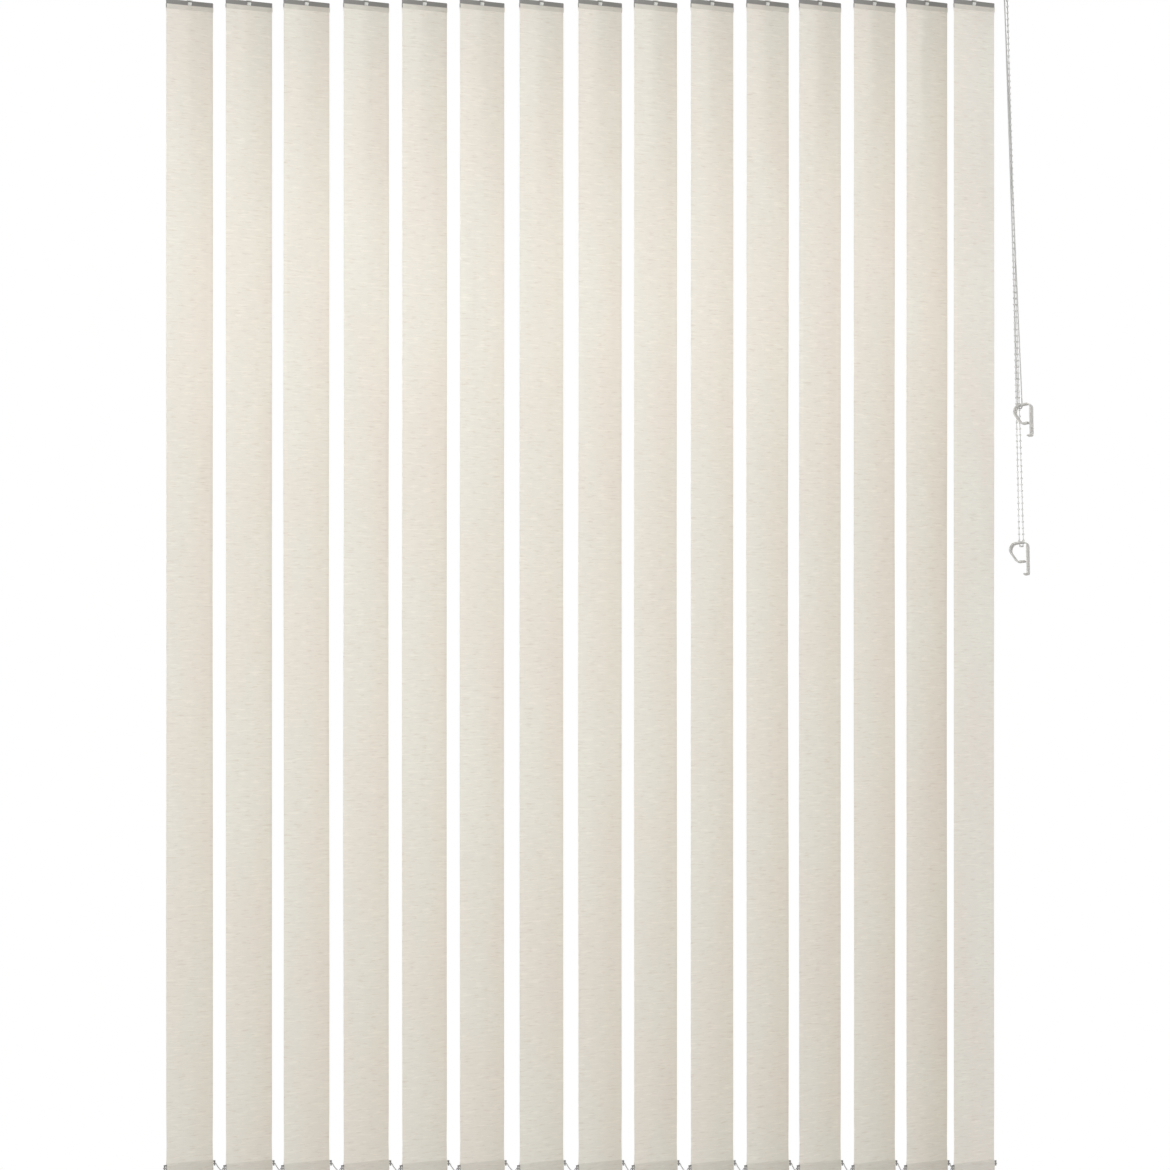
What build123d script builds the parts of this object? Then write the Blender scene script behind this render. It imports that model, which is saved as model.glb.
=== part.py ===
from build123d import *
import math
import os

# A corded vertical blind with fifteen fabric slats, drawn across and part open.
# Millimetres. +X runs along the headrail to the controls, -Y faces the room and +Z is up.
# The origin is on the ceiling, at the screw hole of the middle bracket.

# Slat stations along the headrail
STATION_GAPS = [114.5, 111, 115, 112.5, 111, 114.5, 113, 107, 109, 107, 101, 105, 101, 91]
STATION_FIRST = -sum(STATION_GAPS) / 2
STATIONS = [STATION_FIRST + sum(STATION_GAPS[:n]) for n in range(len(STATION_GAPS) + 1)]

# Headrail section, as half depths in Y and levels in Z
RAIL_LEFT = -800.0
RAIL_RIGHT = 798.0
RAIL_HALF = 20.0
LIP_HALF = 22.0
RAIL_TOP = -2.0
LIP_THICK = 2.0
RAIL_BOTTOM = -34.0
RAIL_WALL = 1.4
SLOT_HALF = 7.0
SLOT_RIB = 1.6
LEDGE = RAIL_BOTTOM + RAIL_WALL

# Ceiling brackets
BRACKET_SPACING = 600.0
BRACKET_LENGTH = 30.0
BRACKET_THICK = 1.4
SCREW_HOLE = 2.5

# Drive: tilt rod, worms and the gears on the stems
ROD_Y = 8.5
ROD_Z = -21.0
ROD_CORE = 1.7
ROD_REACH = 2.5
ROD_RIB = 1.5
ROD_CLEAR = 0.15
WORM_CREST = 3.8
WORM_ROOT = 3.2
WORM_LENGTH = 12.0
WORM_PITCH = 2.4
JOURNAL = 3.3
GEAR_ROOT = 3.5
GEAR_CREST = 4.4
GEAR_TEETH = 10
GEAR_BOTTOM = -24.0
GEAR_TOP = -18.0

# Carriers
CARRIER_LENGTH = 16.0
CARRIER_FRONT = -17.6
CARRIER_BACK = 14.4
CARRIER_BOTTOM = -30.6
CARRIER_TOP = -9.0
FOOT_BOTTOM = LEDGE + 0.1
STRIP_HALF = 5.0
STRIP_THICK = 0.3
STRIP_REACH = 116.5
STRIP_RISE = 3.4
STRIP_LEVEL = CARRIER_TOP + 0.4

# Stems, with the slat's own width along X and its thickness along Y before it is turned
PIN_RADIUS = 2.2
PIN_TOP = -15.6
NECK_RADIUS = 3.4
STEM_TOP = -35.0
STEM_FORK = -50.0
STEM_WIDTH = 10.0
STEM_THICK = 5.5
NOSE_TOP = -54.5
NOSE_BOTTOM = -58.5
PRONG_BOTTOM = -61.0

# Slats
SLAT_ANGLE = 48.9
SLAT_WIDTH = 127.0
CLOTH = 0.5
HANGER_TOP = -52.0
HANGER_BOTTOM = -68.0
HANGER_THICK = 2.0
HANGER_HOLE = (12.0, 6.0)
HEM_TOP = -61.0
SEAM = -2290.0
SLAT_BOTTOM = -2337.0
WEIGHT_WIDTH = 122.0
WEIGHT_TOP = -2292.0
WEIGHT_BOTTOM = -2334.4
WEIGHT_THICK = 2.0
POCKET_CLEAR = 0.1
EAR_REACH = 68.5
EAR_HEIGHT = 2.6
EAR_PIN = 1.1
EAR_HEAD = 1.6
EAR_PIN_BOTTOM = -2301.0

# Bottom chains
CHAIN_RADIUS = 1.1
CHAIN_SPAN_LENGTH = 130.0
BUTTON_RADIUS = 2.5
BUTTON_BORE = 1.35
BUTTON_HEIGHT = 3.0
BUTTON_Z = -2298.2

# Draw cord and its pulleys
CORD_RADIUS = 1.1
CORD_LEVEL = -12.5
CORD_FRONT = -15.5
CORD_BACK = -4.5
CORD_HOLE = 1.6
PULLEY_GROOVE = 6.0
PULLEY_X = 807.0
PULLEY_RIM = 7.6
PULLEY_WIDTH = 5.0
PULLEY_BORE = 1.7
IDLE_X = -788.0
IDLE_GROOVE = (CORD_BACK - CORD_FRONT) / 2
IDLE_RIM = 7.0
AXLE_RADIUS = 1.5
LEAD_KNOT = 4.0

# Tilt chain and its sprocket
BEAD_RADIUS = 2.25
BEAD_PITCH = 12.0
SPROCKET_POCKETS = 4
SPROCKET_PITCH = BEAD_PITCH / 2 / math.sin(math.pi / SPROCKET_POCKETS)
SPROCKET_RIM = 10.2
TILT_CHAIN_X = 820.0
SPROCKET_LEFT = 815.5
SPROCKET_RIGHT = 826.0
GROOVE_HALF = 2.7

# End caps
CAP_RIGHT = 832.0
CAP_WALL = 2.4
CAP_BOTTOM = -36.0
CAP_INSIDE = 20.2
CAP_LEFT = RAIL_LEFT - 3.0

# P-clips: a strap that holds a cord loop down. Each leans its foot to the room and is turned about Z.
STRAP_WIDTH = 11.5
STRAP_THICK = 2.4
CLIP_HEIGHT = 65.0
CLIP_LOOP = 38.0
CLIP_LEAN = -15.0
UPPER_CLIP = Vector(848.5, -17.0, -831.0)
UPPER_TURN = -35.0
LOWER_CLIP = Vector(843.0, 12.0, -1097.0)
LOWER_TURN = -28.0
CORD_HALF = 7.9
CORD_DROP = 6.0
CORD_OFFSET = -5.5
CORD_TURN_RADIUS = 5.0
BEAD_HALF = 10.0
BEAD_DROP = 6.2
BEAD_TURN_RADIUS = 6.0
BEAD_OFFSET = 6.0


def block(x0, x1, y0, y1, z0, z1):
    """A box between two corners."""
    middle = Pos((x0 + x1) / 2, (y0 + y1) / 2, (z0 + z1) / 2)
    return middle * Box(x1 - x0, y1 - y0, z1 - z0)


def rod_x(radius, x0, x1, y=0.0, z=0.0):
    """A round bar along X."""
    return Pos((x0 + x1) / 2, y, z) * Rot(0, 90, 0) * Cylinder(radius, x1 - x0)


def rod_y(radius, y0, y1, x=0.0, z=0.0):
    """A round bar along Y."""
    return Pos(x, (y0 + y1) / 2, z) * Rot(90, 0, 0) * Cylinder(radius, y1 - y0)


def rod_z(radius, z0, z1, x=0.0, y=0.0):
    """An upright round bar."""
    return Pos(x, y, (z0 + z1) / 2) * Cylinder(radius, z1 - z0)


def splined_bar(x0, x1, grow=0.0):
    """The tilt rod's three-ribbed section, as a bar on the rod's axis."""
    section = Circle(ROD_CORE + grow)
    reach = ROD_REACH + grow
    for turn in (90, 210, 330):
        section += Rot(0, 0, turn) * Pos(reach / 2, 0) * Rectangle(reach, ROD_RIB + 2 * grow)
    return extrude(Plane(origin=(x0, ROD_Y, ROD_Z), z_dir=(1, 0, 0)) * section, x1 - x0)


def headrail():
    """A channel open along its underside, with a lip along each top edge."""
    wall_inside = RAIL_HALF - RAIL_WALL
    roof = RAIL_TOP - RAIL_WALL
    rib_top = LEDGE + SLOT_RIB
    rib_half = SLOT_HALF + 1.2
    side = [
        (SLOT_HALF, rib_top),
        (SLOT_HALF, RAIL_BOTTOM),
        (RAIL_HALF, RAIL_BOTTOM),
        (RAIL_HALF, RAIL_TOP - LIP_THICK),
        (LIP_HALF, RAIL_TOP - LIP_THICK),
        (LIP_HALF, RAIL_TOP),
    ]
    inside = [
        (wall_inside, roof),
        (wall_inside, LEDGE),
        (rib_half, LEDGE),
        (rib_half, rib_top),
    ]
    outline = side + [(-y, z) for y, z in reversed(side)]
    outline += [(-y, z) for y, z in reversed(inside)] + inside
    section = make_face(Polyline(*outline, close=True))
    corners = [v for v in section.vertices() if v.Y == RAIL_BOTTOM and abs(v.X) == RAIL_HALF]
    section = fillet(corners, 1.2)
    return extrude(Plane(origin=(RAIL_LEFT, 0, 0), x_dir=(0, 1, 0), z_dir=(1, 0, 0)) * section,
                   RAIL_RIGHT - RAIL_LEFT)


def ceiling_bracket(x):
    """A plate on the ceiling whose hooks hold the headrail's lips, with a release tab in front."""
    half = BRACKET_LENGTH / 2
    gap = 0.1
    inner = LIP_HALF + gap
    outer = inner + BRACKET_THICK
    hook_top = RAIL_TOP - LIP_THICK - gap
    hook_bottom = hook_top - BRACKET_THICK
    part = block(-half, half, -outer, outer, RAIL_TOP, 0)
    for side in (-1, 1):
        low, high = sorted((side * inner, side * outer))
        part += block(-half, half, low, high, hook_bottom, RAIL_TOP)
        low, high = sorted((side * (RAIL_HALF + 0.3), side * outer))
        part += block(-half, half, low, high, hook_bottom, hook_top)
    part += block(-half / 2, half / 2, -outer - 6, -outer, hook_bottom, hook_top)
    part -= rod_z(SCREW_HOLE, RAIL_TOP - 1, 1)
    return Pos(x, 0, 0) * part


def end_cap_control():
    """The control housing: the pulleys' axle, the rod's end bearing and two ways out below."""
    part = block(RAIL_RIGHT, CAP_RIGHT, -LIP_HALF, LIP_HALF, CAP_BOTTOM, RAIL_TOP)
    part = fillet(part.edges().filter_by(Axis.Z).group_by(Axis.X)[-1], 4)
    ceiling = RAIL_TOP - 1.6
    floor = CAP_BOTTOM + 1.6
    part -= block(RAIL_RIGHT, CAP_RIGHT - CAP_WALL, -CAP_INSIDE, CAP_INSIDE, floor, ceiling)
    web_half = 0.8
    part += block(RAIL_RIGHT + 2, SPROCKET_LEFT - 1.5, -web_half, web_half, floor, ceiling)
    axle_z = CORD_LEVEL - PULLEY_GROOVE
    part += rod_y(AXLE_RADIUS, -CAP_INSIDE, -web_half, PULLEY_X, axle_z)
    part += rod_x(4.6, SPROCKET_RIGHT + 0.6, CAP_RIGHT - CAP_WALL, ROD_Y, ROD_Z)
    part -= rod_x(ROD_REACH + 0.2, SPROCKET_RIGHT, CAP_RIGHT - 1, ROD_Y, ROD_Z)
    cord_x = PULLEY_X + PULLEY_GROOVE
    split = (cord_x + TILT_CHAIN_X) / 2
    part -= block(cord_x - 3, split, CORD_FRONT - 3, CORD_BACK + 3, CAP_BOTTOM - 1, floor + 1)
    part -= block(split, TILT_CHAIN_X + 4, ROD_Y - 12, ROD_Y + 11.5, CAP_BOTTOM - 1, floor + 1)
    return part


def end_cap_idle():
    """The far cap: a plug in the rail, the rod's bearing and the return pulley's shelf and pin."""
    part = block(CAP_LEFT, RAIL_LEFT, -LIP_HALF, LIP_HALF, CAP_BOTTOM, RAIL_TOP)
    part = fillet(part.edges().filter_by(Axis.Z).group_by(Axis.X)[0], 2.5)
    plug_half = RAIL_HALF - RAIL_WALL - 0.2
    plug_bottom = LEDGE + SLOT_RIB + 0.3
    plug_top = RAIL_TOP - RAIL_WALL - 0.2
    plug = block(RAIL_LEFT, RAIL_LEFT + 7, -plug_half, plug_half, plug_bottom, plug_top)
    plug -= block(RAIL_LEFT, RAIL_LEFT + 8, -plug_half + 1.6, plug_half - 1.6,
                  plug_bottom + 1.6, plug_top - 1.6)
    part += plug
    part += rod_x(4.6, RAIL_LEFT, RAIL_LEFT + 5, ROD_Y, ROD_Z)
    part -= rod_x(ROD_REACH + 0.2, RAIL_LEFT - 1, RAIL_LEFT + 6, ROD_Y, ROD_Z)
    middle = (CORD_FRONT + CORD_BACK) / 2
    shelf_top = CORD_LEVEL - PULLEY_WIDTH / 2 - 0.3
    part += block(RAIL_LEFT, IDLE_X + 6, middle - 6, middle + 6, shelf_top - 2, shelf_top)
    part += rod_z(AXLE_RADIUS, shelf_top, CORD_LEVEL + PULLEY_WIDTH / 2 + 1, IDLE_X, middle)
    return part


def pulley(rim, groove):
    """A grooved wheel on the Z axis."""
    part = Cylinder(rim, PULLEY_WIDTH)
    groove_floor = groove - CORD_RADIUS - 0.1
    gap = CORD_RADIUS + 0.2
    part -= Cylinder(rim + 1, 2 * gap) - Cylinder(groove_floor, 2 * gap)
    return part - Cylinder(PULLEY_BORE, PULLEY_WIDTH + 1)


def cord_pulley(y):
    """A pulley at the control end, which turns a strand of cord down."""
    place = Pos(PULLEY_X, y, CORD_LEVEL - PULLEY_GROOVE)
    return place * Rot(90, 0, 0) * pulley(PULLEY_RIM, PULLEY_GROOVE)


def idle_pulley():
    """The return pulley at the far end."""
    return Pos(IDLE_X, (CORD_FRONT + CORD_BACK) / 2, CORD_LEVEL) * pulley(IDLE_RIM, IDLE_GROOVE)


def chain_sprocket():
    """The wheel that the bead chain turns, keyed on the tilt rod."""
    part = rod_x(SPROCKET_RIM, SPROCKET_LEFT, TILT_CHAIN_X + GROOVE_HALF + 1.7, ROD_Y, ROD_Z)
    part += rod_x(4.4, SPROCKET_LEFT, SPROCKET_RIGHT, ROD_Y, ROD_Z)
    groove_floor = SPROCKET_PITCH - BEAD_RADIUS - 0.2
    low = TILT_CHAIN_X - GROOVE_HALF
    high = TILT_CHAIN_X + GROOVE_HALF
    part -= (rod_x(SPROCKET_RIM + 1, low, high, ROD_Y, ROD_Z)
             - rod_x(groove_floor, low, high, ROD_Y, ROD_Z))
    return part - splined_bar(SPROCKET_LEFT - 1, SPROCKET_RIGHT + 1, 0.02)


def tilt_rod():
    """The ribbed rod that runs from cap to cap through every worm."""
    return splined_bar(RAIL_LEFT + 0.5, CAP_RIGHT - CAP_WALL - 0.3)


def carrier_body():
    """A glider at X 0: two feet on the ledges, the gear's and worm's chambers and cord holes."""
    half = CARRIER_LENGTH / 2
    part = block(-half, half, CARRIER_FRONT, CARRIER_BACK, CARRIER_BOTTOM, CARRIER_TOP)
    for low, high in ((-17.6, -9.0), (9.0, 17.6)):
        part += block(-half, half, low, high, FOOT_BOTTOM, CARRIER_BOTTOM + 3)
    for side in (-1, 1):
        low, high = sorted((side * (STRIP_HALF + 0.6), side * (STRIP_HALF + 2)))
        part += block(-half, half, low, high, CARRIER_TOP, CARRIER_TOP + 4.6)
    part -= rod_z(GEAR_CREST + 0.4, GEAR_BOTTOM - 0.2, GEAR_TOP + 0.2)
    part -= rod_z(PIN_RADIUS + 0.15, GEAR_TOP, PIN_TOP + 0.2)
    part -= rod_z(NECK_RADIUS + 0.2, CARRIER_BOTTOM - 3, GEAR_BOTTOM)
    chamber = WORM_LENGTH / 2 + 0.2
    part -= rod_x(WORM_CREST + 0.4, -chamber, chamber, ROD_Y, ROD_Z)
    part -= rod_x(JOURNAL + 0.2, -half - 1, half + 1, ROD_Y, ROD_Z)
    for y in (CORD_FRONT, CORD_BACK):
        part -= rod_x(CORD_HOLE, -half - 1, half + 1, y, CORD_LEVEL)
    return part


def spacer_strip():
    """A spring-steel strip at X 0 that reaches left to the next carrier and climbs as it goes."""
    slope = STRIP_RISE / STRIP_REACH
    thick = STRIP_THICK
    root = CARRIER_LENGTH / 2 - 1
    level = STRIP_LEVEL
    end = level + STRIP_RISE
    outline = [
        (root, level),
        (root, level + thick),
        (0, level + thick),
        (-STRIP_REACH + thick, end + thick - slope * thick),
        (-STRIP_REACH + thick, end + 1.0),
        (-STRIP_REACH, end + 1.0),
        (-STRIP_REACH, end),
        (0, level),
    ]
    section = make_face(Polyline(*outline, close=True))
    return extrude(Plane.XZ * section, STRIP_HALF, both=True)


def strip_post():
    """The post under a spacer strip's root, which joins it to its carrier."""
    return block(0.5, CARRIER_LENGTH / 2 - 1, -STRIP_HALF, STRIP_HALF, CARRIER_TOP, STRIP_LEVEL)


def carrier(number):
    """A carrier at its station, with the spacer strip that ties it to the one on its left."""
    solids = [carrier_body()]
    if number > 1:
        solids = [solids[0] + strip_post(), spacer_strip()]
    return [Pos(STATIONS[number - 1], 0, 0) * solid for solid in solids]


def worm(number):
    """A worm that slides along the ribbed rod and turns with it; its thread is drawn as rings."""
    half = CARRIER_LENGTH / 2 - 0.1
    part = rod_x(JOURNAL, -half, half, ROD_Y, ROD_Z)
    part += rod_x(WORM_ROOT, -WORM_LENGTH / 2, WORM_LENGTH / 2, ROD_Y, ROD_Z)
    for turn in range(5):
        x = (turn - 2) * WORM_PITCH
        part += rod_x(WORM_CREST, x - 0.5, x + 0.5, ROD_Y, ROD_Z)
    part -= splined_bar(-half - 1, half + 1, ROD_CLEAR)
    return Pos(STATIONS[number - 1], 0, 0) * part


def stem():
    """The turning stem: gear and pin in the carrier, neck through the slot, hook below."""
    section = Circle(GEAR_ROOT)
    for tooth in range(GEAR_TEETH):
        turn = Rot(0, 0, tooth * 360 / GEAR_TEETH)
        section += turn * Pos(GEAR_CREST - 0.75, 0) * Rectangle(1.5, 1.2)
    part = extrude(Pos(0, 0, GEAR_BOTTOM) * section, GEAR_TOP - GEAR_BOTTOM)
    part += rod_z(PIN_RADIUS, GEAR_TOP, PIN_TOP)
    part += rod_z(NECK_RADIUS, STEM_TOP, GEAR_BOTTOM)
    half = STEM_WIDTH / 2
    front = -STEM_THICK / 2
    back = STEM_THICK / 2
    shank = block(-half, half, front, back, STEM_FORK, STEM_TOP)
    part += fillet(shank.edges().filter_by(Axis.Z), 1.2)
    hanger_face = HANGER_THICK / 2
    part += block(-half, half, hanger_face + 0.1, back, PRONG_BOTTOM, STEM_FORK)
    part += block(-half, half, front, -hanger_face - 0.1, HANGER_TOP + 0.2, STEM_FORK)
    nose = block(-half + 0.5, half - 0.5, -hanger_face - 0.6, back, NOSE_BOTTOM, NOSE_TOP)
    return part + fillet(nose.edges().filter_by(Axis.Y), 1.5)


def hanger():
    """The grey strip at the head of a slat, with a slot for the stem's hook."""
    half = SLAT_WIDTH / 2
    thick = HANGER_THICK / 2
    part = block(-half, half, -thick, thick, HANGER_BOTTOM, HANGER_TOP)
    part = fillet(part.edges().filter_by(Axis.Y).group_by(Axis.Z)[-1], 2.0)
    width, height = HANGER_HOLE
    hole = block(-width / 2, width / 2, -thick - 1, thick + 1, NOSE_TOP - height, NOSE_TOP)
    return part - fillet(hole.edges().filter_by(Axis.Y), 2.0)


def cloth():
    """A length of fabric with a hem round the hanger and a pocket for the weight."""
    hang = HANGER_THICK / 2
    pocket = WEIGHT_THICK / 2 + POCKET_CLEAR
    thin = CLOTH / 2
    side = [
        (hang, HANGER_BOTTOM),
        (hang, HEM_TOP),
        (hang + CLOTH, HEM_TOP),
        (hang + CLOTH, HANGER_BOTTOM - 0.6),
        (thin, HANGER_BOTTOM - 2.5),
        (thin, SEAM),
        (pocket + CLOTH, SEAM - 2.5),
        (pocket + CLOTH, SLAT_BOTTOM + 1.0),
        (pocket, SLAT_BOTTOM),
    ]
    outline = side + [(-y, z) for y, z in reversed(side)]
    section = make_face(Polyline(*outline, close=True))
    hollow_top = WEIGHT_TOP + 0.2
    hollow_bottom = SLAT_BOTTOM + 2.2
    hollow = Pos(0, (hollow_top + hollow_bottom) / 2) * Rectangle(2 * pocket, hollow_top - hollow_bottom)
    plane = Plane(origin=(-SLAT_WIDTH / 2, 0, 0), x_dir=(0, 1, 0), z_dir=(1, 0, 0))
    return extrude(plane * (section - hollow), SLAT_WIDTH)


def weight():
    """The flat weight in the bottom pocket, with an ear and a chain pin at each upper corner."""
    half = WEIGHT_WIDTH / 2
    thick = WEIGHT_THICK / 2
    part = block(-half, half, -thick, thick, WEIGHT_BOTTOM, WEIGHT_TOP)
    for side in (-1, 1):
        low, high = sorted((side * (half - 1), side * EAR_REACH))
        part += block(low, high, -thick, thick, WEIGHT_TOP - EAR_HEIGHT, WEIGHT_TOP)
        part += rod_z(1.6, WEIGHT_TOP - EAR_HEIGHT, WEIGHT_TOP, side * EAR_REACH)
        part += rod_z(EAR_PIN, EAR_PIN_BOTTOM, WEIGHT_TOP, side * EAR_REACH)
        part += rod_z(EAR_HEAD, EAR_PIN_BOTTOM - 1, EAR_PIN_BOTTOM, side * EAR_REACH)
    return part


def slat(number):
    """Everything that turns at a station: stem, hanger, cloth and weight."""
    place = Pos(STATIONS[number - 1], 0, 0) * Rot(0, 0, SLAT_ANGLE)
    return [place * solid for solid in (stem(), hanger(), cloth(), weight())]


def bottom_chain(side):
    """A light chain from ear to ear, -1 along the front edges and +1 along the back edges."""
    angle = math.radians(SLAT_ANGLE)
    dx = side * EAR_REACH * math.cos(angle)
    y = side * EAR_REACH * math.sin(angle)
    part = None
    for x in STATIONS:
        ring = rod_z(BUTTON_RADIUS, BUTTON_Z - BUTTON_HEIGHT / 2, BUTTON_Z + BUTTON_HEIGHT / 2, x + dx, y)
        part = ring if part is None else part + ring
    wall = BUTTON_RADIUS - 0.1
    for left, right in zip(STATIONS, STATIONS[1:]):
        start = left + dx + wall
        end = right + dx - wall
        span = end - start
        sag = math.sqrt(3 / 8 * span * (CHAIN_SPAN_LENGTH - span))
        low = ((start + end) / 2, y, BUTTON_Z - sag)
        curve = ThreePointArc((start, y, BUTTON_Z), low, (end, y, BUTTON_Z))
        part += sweep(Plane(origin=curve @ 0, z_dir=curve % 0) * Circle(CHAIN_RADIUS), curve)
    for x in STATIONS:
        part -= rod_z(BUTTON_BORE, BUTTON_Z - BUTTON_HEIGHT, BUTTON_Z + BUTTON_HEIGHT, x + dx, y)
    return part


def tube(points, radii, radius):
    """A round cord along straight runs and tangent arcs."""
    path = FilletPolyline(*points, radius=radii) if radii else Line(*points)
    made = sweep(Plane(origin=path @ 0, z_dir=path % 0) * Circle(radius), path)
    print("cord tube", round(path.length, 1), "mm, arcs", radii, "volume ratio",
          round(made.volume / (math.pi * radius**2 * path.length), 4))
    return made


def strand_feet(clip, turn, half, drop, offset):
    """Where the two strands of a loop turn under a clip's strap."""
    angle = math.radians(turn)
    along = Vector(math.cos(angle), math.sin(angle), 0) * offset
    across = Vector(-math.sin(angle), math.cos(angle), 0) * half
    middle = clip + along - Vector(0, 0, STRAP_THICK / 2 + drop)
    return middle - across, middle, middle + across


def draw_cord():
    """The hanging loop of the draw cord, from pulley to pulley under the upper clip."""
    near, _, far = strand_feet(UPPER_CLIP, UPPER_TURN, CORD_HALF, CORD_DROP, CORD_OFFSET)
    x = PULLEY_X + PULLEY_GROOVE
    top = CORD_LEVEL - PULLEY_GROOVE - 0.3
    points = [(x, CORD_FRONT, top), near, far, (x, CORD_BACK, top)]
    return tube(points, [CORD_TURN_RADIUS] * 2, CORD_RADIUS)


def rail_cord():
    """The draw cord inside the headrail, from the lead carrier round the pulleys and back to it."""
    x = PULLEY_X + PULLEY_GROOVE
    z = CORD_LEVEL
    down = z - PULLEY_GROOVE
    lead = STATIONS[0]
    turn = PULLEY_GROOVE - 0.01
    back = IDLE_GROOVE - 0.01
    far = IDLE_X - IDLE_GROOVE
    front = tube([(lead + LEAD_KNOT, CORD_FRONT, z), (x, CORD_FRONT, z), (x, CORD_FRONT, down)],
                 [turn], CORD_RADIUS)
    rear = tube([(x, CORD_BACK, down), (x, CORD_BACK, z), (far, CORD_BACK, z),
                 (far, CORD_FRONT, z), (lead - LEAD_KNOT, CORD_FRONT, z)],
                [turn, back, back], CORD_RADIUS)
    return [front, rear]


def tilt_chain():
    """The bead chain's loop as two plain tubes that meet over the sprocket and under the clip."""
    near, middle, far = strand_feet(LOWER_CLIP, LOWER_TURN, BEAD_HALF, BEAD_DROP, BEAD_OFFSET)
    top = ROD_Z + SPROCKET_PITCH
    crown = Vector(TILT_CHAIN_X, ROD_Y, top)
    halves = []
    for side, foot in ((-1, near), (1, far)):
        corner = Vector(TILT_CHAIN_X, ROD_Y + side * SPROCKET_PITCH, top)
        radii = [SPROCKET_PITCH - 0.1, BEAD_TURN_RADIUS]
        halves.append(tube([crown, corner, foot, middle], radii, BEAD_RADIUS))
    return halves


def p_clip(place, turn):
    """A strap bent to a P: foot, leg with a screw hole, loop, and a tail that stops short."""
    leg = CLIP_LOOP / 2
    points = [
        (leg - 8, -CLIP_HEIGHT + 1),
        (leg, -CLIP_HEIGHT + 1),
        (leg, 0),
        (-leg + 8, 0),
        (-leg - 1, -12),
        (-3, -38),
        (leg - 6, -38),
    ]
    path = FilletPolyline(*[Vector(x, 0, z) for x, z in points], radius=[2.0, 9.0, 11.0, 13.0, 8.0])
    strap = sweep(Plane(origin=path @ 0, x_dir=(0, 1, 0), z_dir=path % 0)
                  * Rectangle(STRAP_WIDTH, STRAP_THICK), path)
    strap -= rod_x(2.1, leg - 4, leg + 4, 0, -50)
    strap -= rod_z(2.1, -42, -34, 6)
    return Pos(*place) * Rot(CLIP_LEAN, 0, 0) * Rot(0, 0, turn) * strap


def flat_list(made):
    """The separate solids of a node."""
    if isinstance(made, (list, tuple)):
        return [solid for item in made for solid in flat_list(item)]
    return list(made.solids())


def write(name, made):
    """Write one node's solids to its own STEP file."""
    export_step(Compound(label=name, children=flat_list(made)), "parts/" + name + ".step")


def main():
    os.makedirs("parts", exist_ok=True)
    write("headrail", headrail())
    write("end_cap_control", end_cap_control())
    write("end_cap_idle", end_cap_idle())
    write("ceiling_brackets", [ceiling_bracket(n * BRACKET_SPACING) for n in (-1, 0, 1)])
    write("tilt_rod", tilt_rod())
    write("chain_sprocket", chain_sprocket())
    write("cord_pulley_front", cord_pulley(CORD_FRONT))
    write("cord_pulley_back", cord_pulley(CORD_BACK))
    write("idle_pulley", idle_pulley())
    write("rail_cord", rail_cord())
    write("draw_cord", draw_cord())
    write("tilt_chain", tilt_chain())
    write("p_clips", [p_clip(UPPER_CLIP, UPPER_TURN), p_clip(LOWER_CLIP, LOWER_TURN)])
    write("front_chain", bottom_chain(-1))
    write("back_chain", bottom_chain(1))
    for number in range(1, len(STATIONS) + 1):
        mark = f"_{number:02d}"
        write("carrier" + mark, carrier(number))
        write("worm" + mark, worm(number))
        write("slat" + mark, slat(number))


main()
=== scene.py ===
import math
import random

import bmesh
import bpy
import numpy as np
from mathutils import Matrix, Vector


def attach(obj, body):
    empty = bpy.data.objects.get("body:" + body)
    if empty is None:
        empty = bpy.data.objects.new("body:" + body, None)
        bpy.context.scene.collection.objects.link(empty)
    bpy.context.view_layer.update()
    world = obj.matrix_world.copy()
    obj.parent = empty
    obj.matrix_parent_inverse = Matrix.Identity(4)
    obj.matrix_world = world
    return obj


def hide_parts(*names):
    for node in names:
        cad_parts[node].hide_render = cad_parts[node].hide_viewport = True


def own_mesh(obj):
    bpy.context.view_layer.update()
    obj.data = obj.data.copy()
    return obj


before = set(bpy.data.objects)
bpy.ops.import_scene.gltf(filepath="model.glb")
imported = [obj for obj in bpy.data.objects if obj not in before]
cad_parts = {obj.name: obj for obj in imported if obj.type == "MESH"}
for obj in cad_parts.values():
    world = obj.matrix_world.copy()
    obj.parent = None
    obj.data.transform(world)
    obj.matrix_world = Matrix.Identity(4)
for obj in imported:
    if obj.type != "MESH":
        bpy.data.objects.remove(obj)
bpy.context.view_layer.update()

MM = 0.001
MERGE = 1e-6

# Stations of the slats along the rail, from the lead slat on the left to the fixed one at the controls.
GAPS = [114.5, 111, 115, 112.5, 111, 114.5, 113, 107, 109, 107, 101, 105, 101, 91]
STATIONS = [-sum(GAPS) / 2 + sum(GAPS[:n]) for n in range(len(GAPS) + 1)]
SLAT_ANGLE = math.radians(48.9)
ACROSS = Vector((math.cos(SLAT_ANGLE), math.sin(SLAT_ANGLE), 0))
OUT = Vector((-math.sin(SLAT_ANGLE), math.cos(SLAT_ANGLE), 0))
UP = Vector((0, 0, 1))

# Fabric and hanger, in millimetres.
SLAT_WIDTH = 127.0
CLOTH = 0.5
HEM_TOP = -61.0
HEM_OFFSET = 1.25
POCKET_OFFSET = 1.35
LAYER = 0.52
SEAM = -2290.0
FOLD = -2335.4
HANGER = (-63.5, -68.0, 63.5, -52.0)
HANGER_HOLE = (-6.0, -60.5, 6.0, -54.5)
HANGER_THICK = 2.0

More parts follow.
